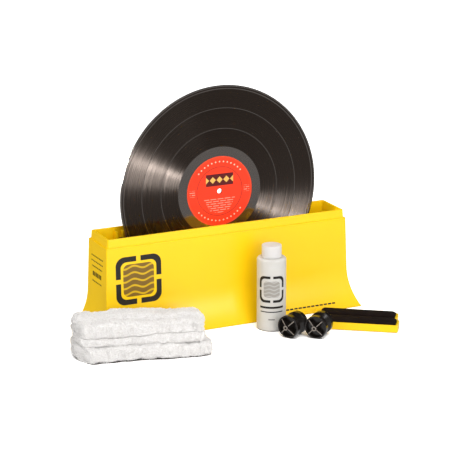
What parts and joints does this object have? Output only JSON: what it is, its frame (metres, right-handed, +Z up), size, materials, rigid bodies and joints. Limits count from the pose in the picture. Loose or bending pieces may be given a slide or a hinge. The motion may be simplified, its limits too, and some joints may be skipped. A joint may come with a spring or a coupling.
{
  "type": "record washer",
  "caption": "Tub record washer: a disc rolls between padded brushes on grooved rollers in a basin, with a fluid bottle, spare rollers and brushes, and folded drying cloths.",
  "frame": {"origin": "middle of the basin's footprint, level with the surface that it stands on", "axes": "+X along the basin, +Y to its back, with the loose pieces at its front, +Z up"},
  "size_m": [0.4738, 0.2303, 0.334],
  "materials": {
    "basin_plastic": "glossy moulded yellow ABS",
    "holder_plastic": "glossy moulded yellow ABS",
    "vinyl": "pressed black vinyl with fine grooves",
    "label_paper": "red printed paper, pressed flat",
    "roller_plastic": "glossy moulded black plastic",
    "pad_velvet": "short black velvet pile",
    "bottle_plastic": "frosted translucent polyethylene",
    "cap_plastic": "smooth white polypropylene",
    "liner_foam": "pale foamed liner",
    "washing_fluid": "clear pale fluid",
    "terry": "white looped cotton terry"
  },
  "bodies": {
    "basin": {"basin": "basin_plastic"},
    "record": {"record_disc": "vinyl", "record_label_front": "label_paper", "record_label_back": "label_paper"},
    "roller_left": {"roller_left": "roller_plastic"},
    "roller_right": {"roller_right": "roller_plastic"},
    "brush_front": {"brush_front_holder": "holder_plastic", "brush_front_pad": "pad_velvet"},
    "brush_back": {"brush_back_holder": "holder_plastic", "brush_back_pad": "pad_velvet"},
    "roller_loose_a": {"roller_loose_a": "roller_plastic"},
    "roller_loose_b": {"roller_loose_b": "roller_plastic"},
    "brush_loose_a": {"brush_loose_a_holder": "holder_plastic", "brush_loose_a_pad": "pad_velvet"},
    "brush_loose_b": {"brush_loose_b_holder": "holder_plastic", "brush_loose_b_pad": "pad_velvet"},
    "bottle": {"bottle_body": "bottle_plastic", "bottle_fluid": "washing_fluid"},
    "cap_liner": {"bottle_cap_liner": "liner_foam"},
    "cap": {"bottle_cap": "cap_plastic"},
    "cloth_lower": {"cloth_lower": "terry"},
    "cloth_upper": {"cloth_upper": "terry"}
  },
  "joints": [
    {"name": "record_spin", "type": "hinge", "parent": "basin", "child": "record", "pos_m": [0, 0, 0.1832], "axis": [0, 1, 0], "continuous": true},
    {"name": "roller_left_spin", "type": "hinge", "parent": "basin", "child": "roller_left", "pos_m": [-0.1435, 0, 0.1145], "axis": [0, 1, 0], "continuous": true},
    {"name": "roller_right_spin", "type": "hinge", "parent": "basin", "child": "roller_right", "pos_m": [0.1435, 0, 0.1145], "axis": [0, 1, 0], "continuous": true},
    {"name": "brush_front_lift", "type": "slide", "parent": "basin", "child": "brush_front", "axis": [0, 0, 1], "range_m": [0, 0.13]},
    {"name": "brush_back_lift", "type": "slide", "parent": "basin", "child": "brush_back", "axis": [0, 0, 1], "range_m": [0, 0.13]},
    {"name": "roller_loose_a_lift", "type": "slide", "parent": "basin", "child": "roller_loose_a", "axis": [0, 0, 1], "range_m": [0, 0.1]},
    {"name": "roller_loose_b_lift", "type": "slide", "parent": "basin", "child": "roller_loose_b", "axis": [0, 0, 1], "range_m": [0, 0.1]},
    {"name": "brush_loose_a_lift", "type": "slide", "parent": "basin", "child": "brush_loose_a", "axis": [0, 0, 1], "range_m": [0, 0.1]},
    {"name": "brush_loose_b_lift", "type": "slide", "parent": "basin", "child": "brush_loose_b", "axis": [0, 0, 1], "range_m": [0, 0.1]},
    {"name": "bottle_lift", "type": "slide", "parent": "basin", "child": "bottle", "axis": [0, 0, 1], "range_m": [0, 0.15]},
    {"name": "cap_rise", "type": "slide", "parent": "bottle", "child": "cap_liner", "axis": [0, 0, 1], "range_m": [0, 0.0046]},
    {"name": "cap_turn", "type": "hinge", "parent": "cap_liner", "child": "cap", "pos_m": [0.042, -0.08, 0.11], "axis": [0, 0, 1], "range_deg": [0, 540]},
    {"name": "cloth_lower_lift", "type": "slide", "parent": "basin", "child": "cloth_lower", "axis": [0, 0, 1], "range_m": [0, 0.1]},
    {"name": "cloth_upper_lift", "type": "slide", "parent": "cloth_lower", "child": "cloth_upper", "axis": [0, 0, 1], "range_m": [0, 0.1]}
  ],
  "couplings": [
    {"joint": "roller_left_spin", "follows": "record_spin", "ratio": -18.85},
    {"joint": "roller_right_spin", "follows": "record_spin", "ratio": -18.85},
    {"joint": "cap_rise", "follows": "cap_turn", "m_per_rad": 0.00047746}
  ]
}
